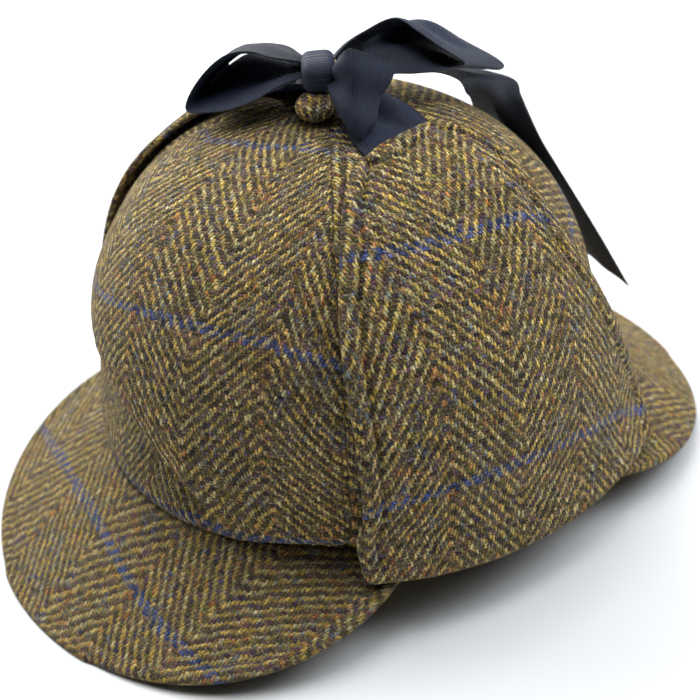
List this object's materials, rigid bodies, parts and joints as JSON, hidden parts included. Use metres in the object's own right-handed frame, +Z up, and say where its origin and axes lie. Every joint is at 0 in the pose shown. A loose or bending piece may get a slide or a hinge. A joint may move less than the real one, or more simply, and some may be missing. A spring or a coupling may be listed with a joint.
{
  "type": "deerstalker hat",
  "caption": "Deerstalker hat of herringbone tweed: paneled crown, front and rear bills, ear flaps tied up over the top with a ribbon bow.",
  "frame": {"origin": "centre of the bounding box's underside, on the surface that the hat rests on", "axes": "+Z up; the front bill points along -Y; the wearer's left is +X"},
  "size_m": [0.218, 0.2968, 0.1957],
  "materials": {
    "tweed": "matte wool herringbone, ochre and dark brown with thin blue and rust lines",
    "grosgrain": "near-black navy ribbon with fine crosswise ribs and a low sheen"
  },
  "bodies": {
    "root": {"crown_front_panel": "tweed", "crown_left_panel": "tweed", "crown_rear_panel": "tweed", "crown_right_panel": "tweed", "front_bill": "tweed", "rear_bill": "tweed", "left_ear_flap": "tweed", "right_ear_flap": "tweed", "top_button": "tweed", "ribbon_knot": "grosgrain", "ribbon_side_loop": "grosgrain", "ribbon_rear_loop": "grosgrain", "ribbon_front_tail": "grosgrain", "ribbon_rear_tail": "grosgrain", "left_flap_strap": "grosgrain", "right_flap_strap": "grosgrain"}
  },
  "joints": []
}
